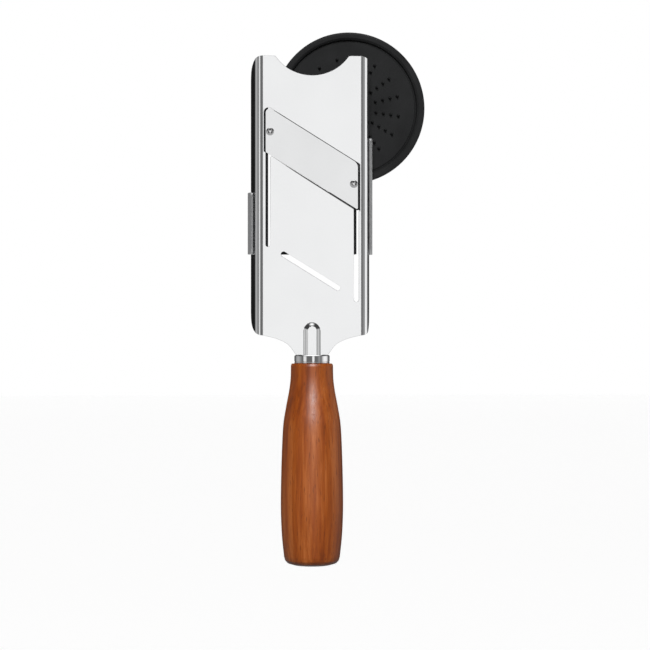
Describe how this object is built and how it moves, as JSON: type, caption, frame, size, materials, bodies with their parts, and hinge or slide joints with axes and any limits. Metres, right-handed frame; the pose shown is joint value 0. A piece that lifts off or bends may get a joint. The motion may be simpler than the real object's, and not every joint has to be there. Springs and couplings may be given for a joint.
{
  "type": "mandoline slicer",
  "caption": "Hand-held mandoline slicer: folded steel channel with slanted blade and adjustable ramp, turned wooden handle, and a round finger guard parked behind.",
  "frame": {"origin": "on the handle's axis at its mid-length, where a hand holds it", "axes": "+Z along the handle towards the blade, slicing bed faces -Y, +X to the right seen from the front"},
  "size_m": [0.101, 0.0634, 0.3011],
  "materials": {
    "bed_steel": "polished stainless steel",
    "blade_steel": "fine satin",
    "bridge_steel": "satin stainless steel",
    "bright_hardware": "polished",
    "plain_hardware": "turned steel",
    "black_plastic": "fine moulded texture",
    "guard_plastic": "matt soft-touch",
    "ferrule_chrome": "mirror",
    "handle_wood": "oiled reddish-brown hardwood"
  },
  "bodies": {
    "slicer": {"body_sheet": "bed_steel", "blade": "blade_steel", "blade_screw_left": "bright_hardware", "blade_screw_right": "bright_hardware", "blade_nut_left": "plain_hardware", "blade_nut_right": "plain_hardware", "blade_frame": "black_plastic", "rear_bridge": "bridge_steel", "bridge_screw_left": "bright_hardware", "bridge_screw_right": "bright_hardware", "threaded_bush": "plain_hardware", "parking_stud": "bright_hardware", "ferrule": "ferrule_chrome", "handle": "handle_wood"},
    "ramp": {"ramp_tongue": "bed_steel"},
    "pad": {"pressure_pad": "black_plastic"},
    "adjuster": {"adjusting_spindle": "plain_hardware", "adjusting_knob": "black_plastic", "knob_cap": "bright_hardware"},
    "guard": {"guard_shell": "guard_plastic", "guard_magnet": "bright_hardware", "guard_knob": "guard_plastic", "guard_knob_screw": "plain_hardware"}
  },
  "joints": [
    {"name": "ramp_flex", "type": "hinge", "parent": "slicer", "child": "ramp", "pos_m": [0, 0, 0.108], "axis": [-0.8499, 0, 0.5269], "range_deg": [0, 4.4]},
    {"name": "pad_advance", "type": "slide", "parent": "slicer", "child": "pad", "axis": [0, 1, 0], "range_m": [0, 0.0019]},
    {"name": "knob_turn", "type": "hinge", "parent": "pad", "child": "adjuster", "pos_m": [0, 0, 0.136], "axis": [0, 1, 0], "range_deg": [0, 810]},
    {"name": "guard_pull_off", "type": "slide", "parent": "slicer", "child": "guard", "axis": [0, 1, 0], "range_m": [0, 0.07]}
  ],
  "couplings": [
    {"joint": "pad_advance", "follows": "knob_turn", "m_per_rad": 0.00012732},
    {"joint": "ramp_flex", "follows": "knob_turn", "ratio": 0.0053498}
  ]
}
